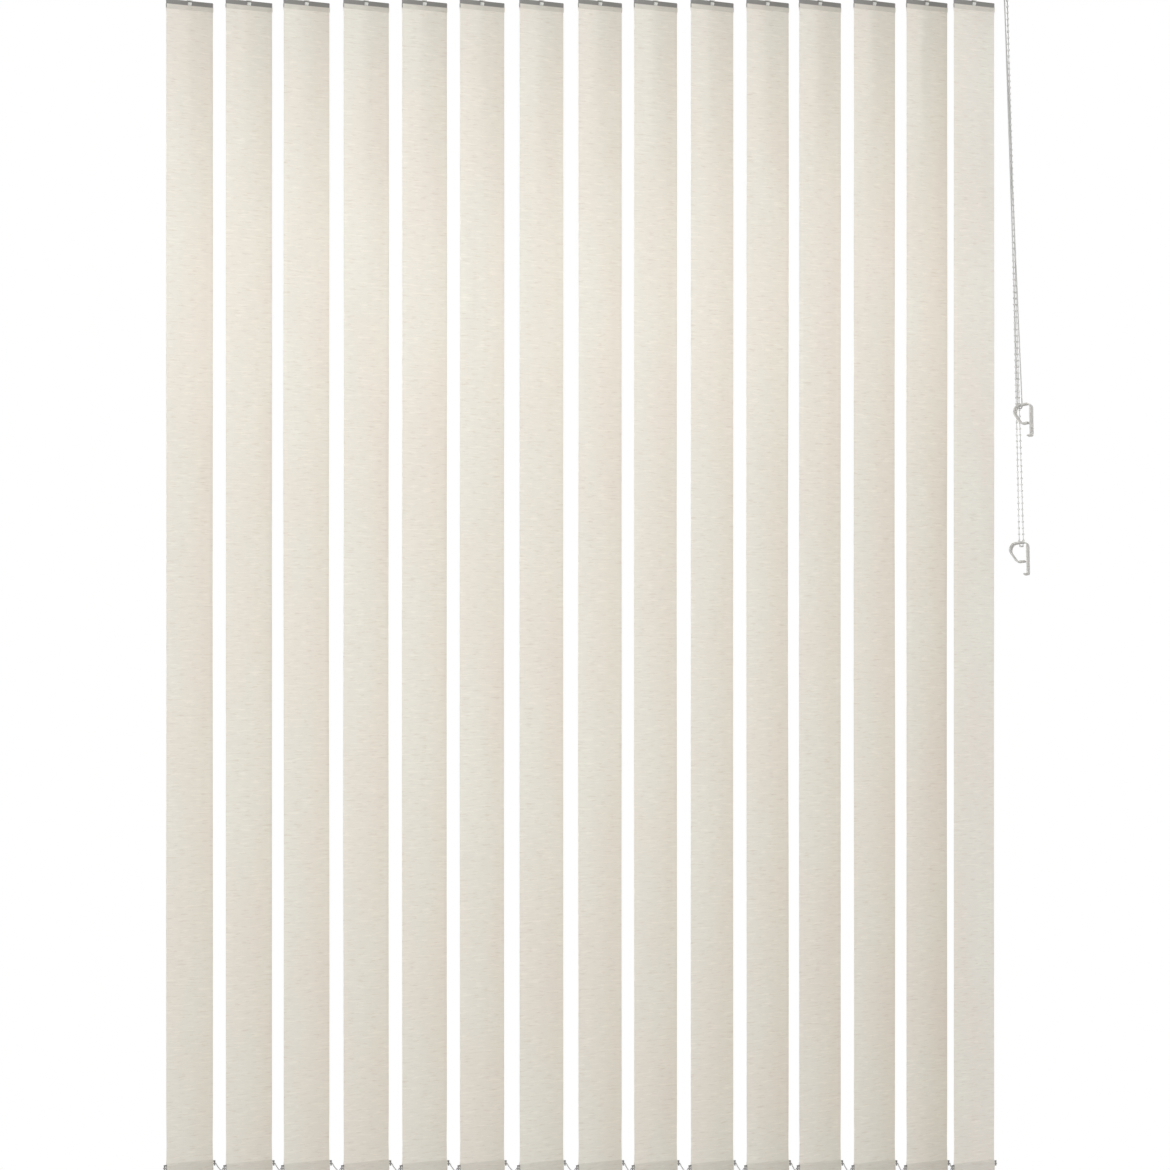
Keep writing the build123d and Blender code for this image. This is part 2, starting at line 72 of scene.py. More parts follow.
# The cloth's side view as (offset, height) steps: the hem's lower edge in front and at the back, then the
# seam's two sides from its level, where it leads in, and the longest rows of the strip and the pocket.
HEM_STEPS = [(-HEM_OFFSET, -68.4), (-0.9, -69.3), (-0.25, -70.1), (0, -71.2)]
HEM_BACK_STEPS = [(HEM_OFFSET, -68.4), (1.0, -69.3), (0.6, -70.1), (LAYER, -71.2), (LAYER, -75)]
SEAM_STEPS = [(0, 0), (-0.4, -1.0), (-1.1, -2.2), (-POCKET_OFFSET, -3.6)]
SEAM_BACK_STEPS = [(POCKET_OFFSET, -3.6), (1.15, -2.2), (0.6, -1.0), (LAYER, 0), (LAYER, 4.0)]
SEAM_LEAD = 6
STRIP_STEP = 32.0
POCKET_STEP = 12.0

# Slats drawn in a little above the pocket: the level, its reach and the share of the width.
WAIST_LEVEL = -2248.0
WAIST_REACH = 28.0
WAIST_SHARE = 0.012

# Ripples of a slat: limits of the bow and its phase, the twist and its phase, and the cup.
RIPPLE = [(-0.9, 0.9), (0, 6.28), (-0.5, 0.5), (0, 6.28), (0.3, 0.8)]
BOW_WAVES = 2.2
TWIST_WAVES = 3
CUP_LEVEL = 0.4
RIPPLE_SEED = 11

# Fabric pattern: noise scales across and along the cloth, thread pitches, and how far apart slats are cut.
SLUB_GRAIN = (34.0, 300.0, 1.0)
PALE_GRAIN = (26.0, 240.0, 3.0)
HAIR_GRAIN = (60.0, 900.0, 1.0)
CLOUD_GRAIN = (7.0, 3.0, 1.0)
MOTTLE_GRAIN = (38.0, 75.0, 1.0)
WARP_PITCH = 0.55
WEFT_PITCH = 0.7
STITCH_PITCH = 2.0
PATTERN_SHIFT = 400.0

# Fabric tones: painted shade where the fabric is double over the hanger and the weight, the end of the
# first, and the colours.
HEAD_PAINTED_SHADE = 0.84
POCKET_PAINTED_SHADE = 0.86
HEAD_SHADE_END = (0.0085, 0.0100)
FABRIC_WARM = (0.80, 0.755, 0.69)
FABRIC_COOL = (0.79, 0.767, 0.70)
FABRIC_SLUB = (0.72, 0.60, 0.49)

# Bottom chains, with a button's inner and outer radius and height. The sag is drawn through points given as
# (share of the gap, share of the drop).
EAR_REACH = 68.5
BUTTON_Z = -2298.2
BUTTON = (1.35, 2.5, 3.0)
CHAIN_SPAN = 130.0
CHAIN_SAG = [(0, 0), (0.11, 0.76), (0.5, 1.08), (0.89, 0.76), (1, 0)]
CHAIN_START = 2.4
CHAIN_BEAD = 1.3
CHAIN_CORE = 0.5
CHAIN_PITCH = 3.1

# Cords. The beads are strung on a core of their own, inside the braided one.
CORD_RADIUS = 1.1
BEAD_RADIUS = 2.25
BEAD_PITCH = 12.0
CORE_RADIUS = 0.6
INNER_CORE = 0.8

# Cord routes in millimetres: the draw cord's loop, its front and back runs in the rail, and the tilt chain.
LOOP_ROUTE = [
    (813.0, -15.5, -18.8), (839.04, -20.24, -825.0), (839.46, -20.32, -838.2),
    (848.53, -7.37, -838.2), (847.95, -7.33, -825.0), (813.0, -4.5, -18.8)]
FRONT_ROUTE = [
    (-752.25, -15.5, -12.5), (800.0, -15.5, -12.5), (813.0, -15.5, -12.5), (813.0, -15.5, -18.5)]
BACK_ROUTE = [
    (813.0, -4.5, -18.5), (813.0, -4.5, -12.5), (800.0, -4.5, -12.5), (-780.5, -4.5, -12.5),
    (-793.5, -4.5, -12.5), (-793.5, -15.5, -12.5), (-780.5, -15.5, -12.5), (-760.25, -15.5, -12.5)]
CHAIN_ROUTE = [
    (820.0, 2.5, -15.0), (820.0, 0.015, -17.5), (820.08, 0.017, -21.0), (843.02, 0.346, -1077.4),
    (843.60, 0.354, -1104.4), (852.99, 18.01, -1104.4), (852.18, 17.99, -1077.4),
    (820.1, 16.99, -21.0), (820.0, 16.985, -17.5), (820.0, 14.5, -15.0)]

# Spacer strips, in millimetres: the strip's side view, half its width, its raised end, and the post's foot.
SPACER_ROOT = 7.0
SPACER_REACH = 116.5
SPACER_RISE = 3.4
SPACER_LEVEL = -8.6
SPACER_THICK = 0.3
SPACER_HALF = 5.0
SPACER_LIP = 1
POST_START = 0.5
POST_FOOT = -9.0

# Camera, in metres, with the width seen at the blind and the sensor in millimetres.
VIEW_X = 0.006
VIEW_Z = -1.178
VIEW_DISTANCE = 12.0
VIEW_WIDTH = 2.256
VIEW_END = 60.0
SENSOR = 36.0

# Room: the strength of its light from below and from above, and the floor's level and edges in metres.
ROOM_BELOW = 0.43
ROOM_ABOVE = 0.78
ROOM_COLOUR = (1.0, 0.995, 0.985, 1)
FLOOR_LEVEL = -2.43
FLOOR = (-2.6, -2.8, 2.6, 0.95)

# Lights: name, place, point looked at, size, power in watts, and spread in degrees.
LIGHTS = [
    ("front fill", (0.3, -6.0, -1.5), (0, 0, -1.5), (2.4, 2.4), 101.0, 180),
    ("key", (0.2, -3.8, -0.6), (0, 0, -0.9), (2.6, 0.5), 6.2, 60),
    ("upper band", (0, -3.5, -0.55), (0, 0, -0.55), (2.4, 0.2), 0.46, 16),
    ("high window", (2.2, -1.3, -0.1), (0, 0, -0.15), (1.6, 0.15), 0.14, 18),
    ("back fill", (-2.5, 5.0, -1.2), (0, 0, -1.2), (2.4, 2.4), 16.0, 180),
]


# ---------------------------------------------------------------- camera, light and floor

def camera():
    """A level camera straight in front of the blind."""
    data = bpy.data.cameras.new("camera")
    data.sensor_width = SENSOR
    data.lens = SENSOR * VIEW_DISTANCE / VIEW_WIDTH
    data.clip_end = VIEW_END
    obj = bpy.data.objects.new("camera", data)
    obj.location = (VIEW_X, -VIEW_DISTANCE, VIEW_Z)
    obj.rotation_euler = (math.pi / 2, 0, 0)
    bpy.context.collection.objects.link(obj)
    bpy.context.scene.camera = obj


def area_light(name, place, target, size, power, spread):
    """A soft oblong light that looks at a point, with its beam's spread in degrees."""
    data = bpy.data.lights.new(name, "AREA")
    data.shape = "RECTANGLE"
    data.size, data.size_y = size
    data.energy = power
    data.spread = math.radians(spread)
    obj = bpy.data.objects.new(name, data)
    obj.location = place
    obj.rotation_euler = (Vector(target) - Vector(place)).to_track_quat("-Z", "Y").to_euler()
    bpy.context.collection.objects.link(obj)


def surroundings():
    """An even pale room, brighter above, and pure white where the camera looks past the blind."""
    world = bpy.data.worlds.new("pale room")
    bpy.context.scene.world = world
    world.use_nodes = True
    tree = world.node_tree
    tree.nodes.clear()
    place = add(tree, "ShaderNodeTexCoord")
    split = add(tree, "ShaderNodeSeparateXYZ", {0: place.outputs["Generated"]})
    level = add(tree, "ShaderNodeMapRange", {"Value": split.outputs["Z"], "From Min": -1.0, "From Max": 1.0,
                                             "To Min": ROOM_BELOW, "To Max": ROOM_ABOVE})
    room = add(tree, "ShaderNodeBackground", {"Color": ROOM_COLOUR, "Strength": level.outputs["Result"]})
    plain = add(tree, "ShaderNodeBackground", {"Color": (1, 1, 1, 1), "Strength": 1.0})
    path = add(tree, "ShaderNodeLightPath")
    mixed = add(tree, "ShaderNodeMixShader", {0: path.outputs["Is Camera Ray"], 1: room.outputs[0],
                                              2: plain.outputs[0]})
    add(tree, "ShaderNodeOutputWorld", {"Surface": mixed.outputs[0]})


def floor():
    """A plain pale floor below the slats, ending short of the camera's view."""
    mesh = bpy.data.meshes.new("floor")
    x0, y0, x1, y1 = FLOOR
    corners = [(x, y, FLOOR_LEVEL) for x, y in ((x0, y0), (x1, y0), (x1, y1), (x0, y1))]
    mesh.from_pydata(corners, [], [(0, 1, 2, 3)])
    obj = bpy.data.objects.new("floor", mesh)
    bpy.context.collection.objects.link(obj)
    mesh.materials.append(moulded("pale floor", (0.78, 0.78, 0.77), 0.8, grain=8.0, variation=0.02,
                                  relief=0.02))


# ---------------------------------------------------------------- node helpers and materials

def add(tree, kind, inputs=None, **settings):
    """A node with its settings made and its inputs linked or given values."""
    node = tree.nodes.new(kind)
    for name, value in settings.items():
        setattr(node, name, value)
    for name, value in (inputs or {}).items():
        if isinstance(value, bpy.types.NodeSocket):
            tree.links.new(value, node.inputs[name])
        else:
            node.inputs[name].default_value = value
    return node


def shader_group(name, inputs, outputs):
    """An empty node group with named sockets. A number input is a float, three a vector, four a colour."""
    tree = bpy.data.node_groups.new(name, "ShaderNodeTree")
    for label, value in inputs.items():
        size = len(value) if isinstance(value, tuple) else 1
        kind = {1: "NodeSocketFloat", 3: "NodeSocketVector", 4: "NodeSocketColor"}[size]
        tree.interface.new_socket(label, in_out="INPUT", socket_type=kind).default_value = value
    for label, kind in outputs.items():
        tree.interface.new_socket(label, in_out="OUTPUT", socket_type=kind)
    return tree, tree.nodes.new("NodeGroupInput").outputs, tree.nodes.new("NodeGroupOutput").inputs


def times(tree, a, b):
    """Two values multiplied."""
    return add(tree, "ShaderNodeMath", {0: a, 1: b}, operation="MULTIPLY").outputs[0]


def plus(tree, a, b):
    """Two values added."""
    return add(tree, "ShaderNodeMath", {0: a, 1: b}, operation="ADD").outputs[0]


def varied(tree, base, layer, strength, middle=0.0):
    """A base value raised by a layer's distance from its middle, times a strength."""
    if middle:
        layer = plus(tree, layer, -middle)
    return plus(tree, base, times(tree, layer, strength))


def ramp(tree, value, low, high, start=0.0, end=1.0):
    """A value brought smoothly from low..high to start..end."""
    node = add(tree, "ShaderNodeMapRange", {"Value": value, "From Min": low, "From Max": high,
                                            "To Min": start, "To Max": end},
               interpolation_type="SMOOTHSTEP")
    return node.outputs["Result"]


def shade(tree, colour, factor):
    """A colour multiplied by a grey factor."""
    return add(tree, "ShaderNodeVectorMath", {0: colour, "Scale": factor}, operation="SCALE").outputs[0]


def noise(tree, vector, scale, detail=3.0, rough=0.55):
    """Noise between 0 and 1."""
    node = add(tree, "ShaderNodeTexNoise", {"Vector": vector, "Scale": scale, "Detail": detail,
                                            "Roughness": rough})
    return node.outputs[0]


def stretched(tree, vector, scale):
    """A coordinate scaled differently along each axis."""
    return add(tree, "ShaderNodeVectorMath", {0: vector, 1: scale}, operation="MULTIPLY").outputs[0]


def blended(tree, share, first, second):
    """Two colours mixed, by the share of the second."""
    return add(tree, "ShaderNodeMix", {0: share, 6: first, 7: second}, data_type="RGBA").outputs[2]


def grain_group():
    """The fine uneven surface of moulded plastic or sprayed paint."""
    tree, given, out = shader_group(
        "Moulded grain",
        {"Colour": (0.8, 0.8, 0.8, 1), "Variation": 0.04, "Grain Scale": 900.0, "Roughness": 0.45,
         "Relief": 0.3},
        {"Colour": "NodeSocketColor", "Roughness": "NodeSocketFloat", "Normal": "NodeSocketVector"})
    place = add(tree, "ShaderNodeTexCoord").outputs["Object"]
    fine = noise(tree, place, given["Grain Scale"])
    broad = noise(tree, place, 24.0, 2.0)
    amount = times(tree, plus(tree, plus(tree, fine, broad), -1.0), given["Variation"])
    tree.links.new(shade(tree, given["Colour"], plus(tree, amount, 1.0)), out["Colour"])
    tree.links.new(varied(tree, given["Roughness"], broad, 0.25, 0.5), out["Roughness"])
    bump = add(tree, "ShaderNodeBump", {"Strength": given["Relief"], "Distance": 0.0002, "Height": fine})
    tree.links.new(bump.outputs[0], out["Normal"])
    return tree


def brushed_group():
    """Drawn or rolled metal with fine lines one way and faint cloudy staining."""
    tree, given, out = shader_group(
        "Drawn metal",
        {"Colour": (0.7, 0.7, 0.7, 1), "Lines": (20.0, 900.0, 900.0), "Cloud Scale": 60.0,
         "Roughness": 0.35, "Relief": 0.25},
        {"Colour": "NodeSocketColor", "Roughness": "NodeSocketFloat", "Normal": "NodeSocketVector"})
    place = add(tree, "ShaderNodeTexCoord").outputs["Object"]
    lines = noise(tree, stretched(tree, place, given["Lines"]), 1.0, 4.0)
    cloud = noise(tree, place, given["Cloud Scale"], 3.0)
    amount = times(tree, plus(tree, plus(tree, lines, cloud), -1.0), 0.16)
    tree.links.new(shade(tree, given["Colour"], plus(tree, amount, 1.0)), out["Colour"])
    tree.links.new(varied(tree, given["Roughness"], lines, 0.35, 0.5), out["Roughness"])
    bump = add(tree, "ShaderNodeBump", {"Strength": given["Relief"], "Distance": 0.0001, "Height": lines})
    tree.links.new(bump.outputs[0], out["Normal"])
    return tree


def dust_group():
    """A thin film of dust that settles on faces turned upwards."""
    tree, given, out = shader_group(
        "Settled dust",
        {"Colour": (0.8, 0.8, 0.8, 1), "Dust Colour": (0.42, 0.4, 0.37, 1), "Amount": 0.35},
        {"Colour": "NodeSocketColor"})
    normal = add(tree, "ShaderNodeNewGeometry").outputs["Normal"]
    facing = add(tree, "ShaderNodeSeparateXYZ", {0: normal}).outputs["Z"]
    place = add(tree, "ShaderNodeTexCoord").outputs["Object"]
    patches = ramp(tree, noise(tree, place, 70.0, 5.0), 0.3, 0.75)
    amount = times(tree, times(tree, ramp(tree, facing, 0.35, 1.0), patches), given["Amount"])
    tree.links.new(blended(tree, amount, given["Colour"], given["Dust Colour"]), out["Colour"])
    return tree


def new_material(name):
    """A material with a Principled surface, and its tree."""
    material = bpy.data.materials.new(name)
    material.use_nodes = True
    tree = material.node_tree
    tree.nodes.clear()
    surface = add(tree, "ShaderNodeBsdfPrincipled")
    add(tree, "ShaderNodeOutputMaterial", {"Surface": surface.outputs[0]})
    return material, tree, surface


def connect(tree, surface, colour, roughness, normal):
    """Link the three values that change over the surface."""
    tree.links.new(colour, surface.inputs["Base Color"])
    tree.links.new(roughness, surface.inputs["Roughness"])
    tree.links.new(normal, surface.inputs["Normal"])


def group_finish(tree, surface, group, values, dust):
    """A finish from a node group, with dust where it gathers."""
    finish = add(tree, "ShaderNodeGroup", node_tree=GROUPS[group])
    for label, value in values.items():
        finish.inputs[label].default_value = value
    shown = finish.outputs["Colour"]
    if dust:
        film = add(tree, "ShaderNodeGroup", node_tree=GROUPS["dust"])
        film.inputs["Amount"].default_value = dust
        tree.links.new(shown, film.inputs["Colour"])
        shown = film.outputs["Colour"]
    connect(tree, surface, shown, finish.outputs["Roughness"], finish.outputs["Normal"])


def moulded(name, colour, roughness, grain=900.0, variation=0.05, relief=0.25, dust=0.0, coat=0.0):
    """Plastic or paint with a moulded grain, and a clear coat where it has one."""
    material, tree, surface = new_material(name)
    values = {"Colour": (*colour, 1), "Variation": variation, "Grain Scale": grain,
              "Roughness": roughness, "Relief": relief}
    group_finish(tree, surface, "grain", values, dust)
    surface.inputs["Coat Weight"].default_value = coat
    return material


def drawn_metal(name, colour, roughness, lines, cloud=60.0, dust=0.0):
    """Bare metal with lines along its length."""
    material, tree, surface = new_material(name)
    surface.inputs["Metallic"].default_value = 1.0
    values = {"Colour": (*colour, 1), "Lines": lines, "Cloud Scale": cloud, "Roughness": roughness}
    group_finish(tree, surface, "brushed", values, dust)
    return material


def threads(tree, value, pitch):
    """Rounded ridges between 0 and 1 across a coordinate in metres, one every pitch millimetres."""
    turn = times(tree, value, 2 * math.pi / (pitch * MM))
    wave = add(tree, "ShaderNodeMath", {0: turn}, operation="SINE").outputs[0]
    return ramp(tree, wave, -1.0, 1.0)


def slat_fabric(name, pocket_start):
    """Cream woven fabric with slubs across, with painted shade where it is double over the hanger and the
    weight.
    """
    material, tree, surface = new_material(name)
    place = add(tree, "ShaderNodeUVMap", uv_map="UVMap").outputs["UV"]
    split = add(tree, "ShaderNodeSeparateXYZ", {0: place})
    across = split.outputs["X"]
    along = split.outputs["Y"]
    weave = times(tree, threads(tree, across, WARP_PITCH), threads(tree, along, WEFT_PITCH))
    slub = ramp(tree, noise(tree, stretched(tree, place, SLUB_GRAIN), 1.0, 3.0), 0.54, 0.72)
    pale = ramp(tree, noise(tree, stretched(tree, place, PALE_GRAIN), 1.0, 3.0), 0.47, 0.32)
    hair = ramp(tree, noise(tree, stretched(tree, place, HAIR_GRAIN), 1.0, 2.0), 0.6, 0.72)
    cloud = noise(tree, stretched(tree, place, CLOUD_GRAIN), 1.0, 2.0)
    mottle = noise(tree, stretched(tree, place, MOTTLE_GRAIN), 1.0, 3.0)
    tone = 1.0
    for layer, strength, middle in ((cloud, 0.04, 0.5), (mottle, 0.07, 0.5), (slub, -0.065, 0),
                                    (pale, 0.06, 0), (hair, -0.05, 0), (weave, 0.03, 0.3)):
        tone = varied(tree, tone, layer, strength, middle)
    # Painted shade: the fabric is darker at the head over the hanger and in the foot pocket over the weight.
    head_shade = ramp(tree, along, *HEAD_SHADE_END, HEAD_PAINTED_SHADE, 1.0)
    foot = ramp(tree, along, pocket_start - 0.001, pocket_start + 0.001, 1.0, POCKET_PAINTED_SHADE)
    tone = times(tree, times(tree, tone, head_shade), foot)
    tint = blended(tree, ramp(tree, cloud, 0.35, 0.65), (*FABRIC_WARM, 1), (*FABRIC_COOL, 1))
    tint = blended(tree, times(tree, slub, 0.25), tint, (*FABRIC_SLUB, 1))
    rough = varied(tree, 0.88, slub, -0.08)
    press = times(tree, ramp(tree, along, pocket_start - 0.0022, pocket_start - 0.0012),
                  ramp(tree, along, pocket_start + 0.0004, pocket_start - 0.0004))
    stitches = times(tree, press, threads(tree, across, STITCH_PITCH))
    height = varied(tree, times(tree, weave, 0.5), slub, 0.8)
    height = varied(tree, height, stitches, -1.0)
    bump = add(tree, "ShaderNodeBump", {"Strength": 0.5, "Distance": 0.00015, "Height": height})
    connect(tree, surface, shade(tree, tint, tone), rough, bump.outputs[0])
    surface.inputs["Sheen Weight"].default_value = 0.06
    surface.inputs["Specular IOR Level"].default_value = 0.25
    return material


def braided_cord(name, colour, diameter):
    """Cord with the diamond ridges of an eight-strand braid, read from its UV map in metres."""
    material, tree, surface = new_material(name)
    place = add(tree, "ShaderNodeUVMap", uv_map="UVMap").outputs["UV"]
    split = add(tree, "ShaderNodeSeparateXYZ", {0: place})
    around = times(tree, split.outputs["X"], 4.0 / (math.pi * diameter))
    along = times(tree, split.outputs["Y"], 2.0 / diameter)
    one = threads(tree, times(tree, plus(tree, around, along), MM), 1.0)
    other = threads(tree, times(tree, plus(tree, around, times(tree, along, -1.0)), MM), 1.0)
    braid = add(tree, "ShaderNodeMath", {0: one, 1: other}, operation="MAXIMUM").outputs[0]
    soil = noise(tree, stretched(tree, place, (20.0, 9.0, 1.0)), 1.0, 3.0)
    fibre = noise(tree, stretched(tree, place, (3000.0, 300.0, 1.0)), 1.0, 2.0)
    tone = varied(tree, 0.76, braid, 0.3)
    tone = varied(tree, tone, soil, 0.14, 0.5)
    tone = varied(tree, tone, fibre, 0.12, 0.5)
    bump = add(tree, "ShaderNodeBump", {"Strength": 0.8, "Distance": 0.0003, "Height": braid})
    rough = varied(tree, 0.85, braid, -0.15)
    connect(tree, surface, shade(tree, colour, tone), rough, bump.outputs[0])
    surface.inputs["Sheen Weight"].default_value = 0.1
    return material


# ---------------------------------------------------------------- mesh helpers

def make_piece(name, mesh, material, body, slot, *nodes):
    """A finished piece that rides on a body and stands for CAD nodes."""
    obj = bpy.data.objects.new(name, mesh)
    bpy.context.collection.objects.link(obj)
    mesh.materials.clear()
    mesh.materials.append(material)
    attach(obj, body)
    if nodes:
        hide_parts(*nodes)
    return obj


def mend(mesh, merge=False):
    """Turn a closed mesh's faces outwards, with its doubled points merged if asked."""
    fix = bmesh.new()
    fix.from_mesh(mesh)
    if merge:
        bmesh.ops.remove_doubles(fix, verts=fix.verts, dist=MERGE)
    bmesh.ops.recalc_face_normals(fix, faces=fix.faces)
    fix.to_mesh(mesh)
    fix.free()


def smooth(mesh, angle=32.0):
    """Smooth shading with creases kept."""
    mesh.shade_smooth()
    mesh.set_sharp_from_angle(angle=math.radians(angle))


def solids(node):
    """The separate closed solids of a CAD node as merged copies, the highest first."""
    whole = bmesh.new()
    whole.from_mesh(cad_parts[node].data)
    bmesh.ops.remove_doubles(whole, verts=whole.verts, dist=MERGE)
    whole.verts.index_update()
    group = [-1] * len(whole.verts)
    count = 0
    for seed in whole.verts:
        if group[seed.index] >= 0:
            continue
        group[seed.index] = count
        todo = [seed]
        while todo:
            for edge in todo.pop().link_edges:
                for vert in edge.verts:
                    if group[vert.index] < 0:
                        group[vert.index] = count
                        todo.append(vert)
        count += 1
    places = [v.co.copy() for v in whole.verts]
    made = []
    for wanted in range(count):
        faces = [f for f in whole.faces if group[f.verts[0].index] == wanted]
        order = sorted({v.index for f in faces for v in f.verts})
        number = {index: n for n, index in enumerate(order)}
        mesh = bpy.data.meshes.new(node)
        mesh.from_pydata([places[i] for i in order], [],
                         [[number[v.index] for v in f.verts] for f in faces])
        made.append(mesh)
    whole.free()
    return sorted(made, key=lambda mesh: -max(v.co.z for v in mesh.vertices))


def moved(mesh, name, shift):
    """A copy of a mesh, shifted."""
    made = mesh.copy()
    made.name = name
    made.transform(Matrix.Translation(shift))
    return made


def spline_line(route):
    """Points along the smooth open spline whose control points are the route, in metres."""
    curve = bpy.data.curves.new("route", "CURVE")
    curve.dimensions = "3D"
    curve.resolution_u = 24
    spline = curve.splines.new("NURBS")
    spline.points.add(len(route) - 1)
    for point, place in zip(spline.points, route):
        point.co = (*[c * MM for c in place], 1.0)
    spline.order_u = 3
    spline.use_endpoint_u = True
    holder = bpy.data.objects.new("route", curve)
    mesh = bpy.data.meshes.new_from_object(holder)
    line = [v.co.copy() for v in mesh.vertices]
    bpy.data.objects.remove(holder)
    bpy.data.curves.remove(curve)
    bpy.data.meshes.remove(mesh)
    return line


def line_length(line):
    """Length of a line of points."""
    return sum((b - a).length for a, b in zip(line, line[1:]))


def tube(name, line, radius, sides=14):
    """A closed round tube along a line, with a UV map in metres: round it, and along it."""
    steep = 0.9
    verts, rings, run = [], [], [0.0]
    side = None
    for n, point in enumerate(line):
        ahead = (line[min(n + 1, len(line) - 1)] - line[max(n - 1, 0)]).normalized()
        side = (side if side else (UP if abs(ahead.z) < steep else Vector((1, 0, 0))))
        side = (side - ahead * side.dot(ahead)).normalized()
        other = ahead.cross(side)
        if n:
            run.append(run[-1] + (point - line[n - 1]).length)
        rings.append(len(verts))
        for k in range(sides):
            angle = 2 * math.pi * k / sides
            verts.append(point + (side * math.cos(angle) + other * math.sin(angle)) * radius)
    faces, uvs = [], []
    step = 2 * math.pi * radius / sides
    for n in range(len(line) - 1):
        for k in range(sides):
            a, b = rings[n] + k, rings[n] + (k + 1) % sides
            c, d = rings[n + 1] + (k + 1) % sides, rings[n + 1] + k
            faces.append((a, b, c, d))
            uvs += [(k * step, run[n]), ((k + 1) * step, run[n]), ((k + 1) * step, run[n + 1]),
                    (k * step, run[n + 1])]
    faces.append(tuple(range(sides - 1, -1, -1)))
    faces.append(tuple(rings[-1] + k for k in range(sides)))
    uvs += [(0.0, run[0])] * sides + [(0.0, run[-1])] * sides
    mesh = bpy.data.meshes.new(name)
    mesh.from_pydata(verts, [], faces)
    layer = mesh.uv_layers.new(name="UVMap")
    layer.data.foreach_set("uv", np.array(uvs, float).ravel())
    smooth(mesh, 50.0)
    return mesh


def bead_string_tree():
    """A node tree for a string of beads on a thin core along a line of points."""
    tree = bpy.data.node_groups.new("Bead string", "GeometryNodeTree")
    face = tree.interface
    face.new_socket("Path", in_out="INPUT", socket_type="NodeSocketGeometry")
    for label, kind, value in (("Bead Radius", "NodeSocketFloat", 0.001),
                               ("Bead Count", "NodeSocketInt", 10),
                               ("Core Radius", "NodeSocketFloat", 0.0005)):
        face.new_socket(label, in_out="INPUT", socket_type=kind).default_value = value
    face.new_socket("Material", in_out="INPUT", socket_type="NodeSocketMaterial")
    face.new_socket("Geometry", in_out="OUTPUT", socket_type="NodeSocketGeometry")
    given = add(tree, "NodeGroupInput").outputs
    path = add(tree, "GeometryNodeMeshToCurve", {"Mesh": given["Path"]}).outputs[0]
    ring = add(tree, "GeometryNodeCurvePrimitiveCircle", {"Resolution": 8, "Radius": given["Core Radius"]})
    core = add(tree, "GeometryNodeCurveToMesh", {"Curve": path, "Profile Curve": ring.outputs[0],
                                                 "Fill Caps": True})
    even = add(tree, "GeometryNodeResampleCurve", {"Curve": path, "Count": given["Bead Count"]})
    bead = add(tree, "GeometryNodeMeshIcoSphere", {"Radius": given["Bead Radius"], "Subdivisions": 2})
    beads = add(tree, "GeometryNodeInstanceOnPoints", {"Points": even.outputs[0],
                                                       "Instance": bead.outputs[0]})
    both = add(tree, "GeometryNodeJoinGeometry")
    tree.links.new(core.outputs[0], both.inputs[0])
    tree.links.new(beads.outputs[0], both.inputs[0])
    real = add(tree, "GeometryNodeRealizeInstances", {"Geometry": both.outputs[0]})
    soft = add(tree, "GeometryNodeSetShadeSmooth", {0: real.outputs[0]})
    painted = add(tree, "GeometryNodeSetMaterial", {"Geometry": soft.outputs[0],
                                                    "Material": given["Material"]})
    add(tree, "NodeGroupOutput", {"Geometry": painted.outputs[0]})
    return tree


def string_of_beads(name, line, bead, pitch, core, material):
    """A plain mesh of beads along a line, made by the bead string tree."""
    mesh = bpy.data.meshes.new(name)
    mesh.from_pydata(line, [(n, n + 1) for n in range(len(line) - 1)], [])
    holder = bpy.data.objects.new(name, mesh)
    bpy.context.collection.objects.link(holder)
    modifier = holder.modifiers.new("beads", "NODES")
    modifier.node_group = BEAD_TREE
    values = {"Bead Radius": bead * MM, "Core Radius": core * MM, "Material": material,
              "Bead Count": round(line_length(line) / (pitch * MM)) + 1}
    for item in BEAD_TREE.interface.items_tree:
        if item.in_out == "INPUT" and item.name in values:
            modifier[item.identifier] = values[item.name]
    evaluated = holder.evaluated_get(bpy.context.evaluated_depsgraph_get())
    made = bpy.data.meshes.new_from_object(evaluated)
    made.name = name
    bpy.data.objects.remove(holder)
    bpy.data.meshes.remove(mesh)
    return made


def lathe_ring(name, centre, inner, outer, height, edge=0.35, sides=28):
    """A short round ring with eased edges, in millimetres."""
    low, high = -height / 2, height / 2
    profile = [(inner, low + edge), (inner + edge, low), (outer - edge, low), (outer, low + edge),
               (outer, high - edge), (outer - edge, high), (inner + edge, high), (inner, high - edge)]
    verts, faces = [], []
    for k in range(sides):
        angle = 2 * math.pi * k / sides
        for radius, z in profile:
            verts.append((Vector((radius * math.cos(angle), radius * math.sin(angle), z)) + centre) * MM)
    size = len(profile)
    for k in range(sides):
        for n in range(size):
            a, b = k * size + n, k * size + (n + 1) % size
            c, d = (k + 1) % sides * size + (n + 1) % size, (k + 1) % sides * size + n
            faces.append((a, d, c, b))
    mesh = bpy.data.meshes.new(name)
    mesh.from_pydata(verts, [], faces)
    mend(mesh)
    smooth(mesh)
    return mesh


def join(name, meshes):
    """Several meshes as one."""
    whole = bmesh.new()
    for mesh in meshes:
        whole.from_mesh(mesh)
    made = bpy.data.meshes.new(name)
    whole.to_mesh(made)
    whole.free()
    smooth(made)
    return made


def rounded_outline(box, radius, steps=5):
    """Corner points of a rectangle with round corners, in order."""
    x0, y0, x1, y1 = box
    points = []
    for cx, cy, start in ((x1 - radius, y1 - radius, 0), (x0 + radius, y1 - radius, 90),
                          (x0 + radius, y0 + radius, 180), (x1 - radius, y0 + radius, 270)):
        for n in range(steps + 1):
            angle = math.radians(start + 90 * n / steps)
            points.append((cx + radius * math.cos(angle), cy + radius * math.sin(angle)))
    return points


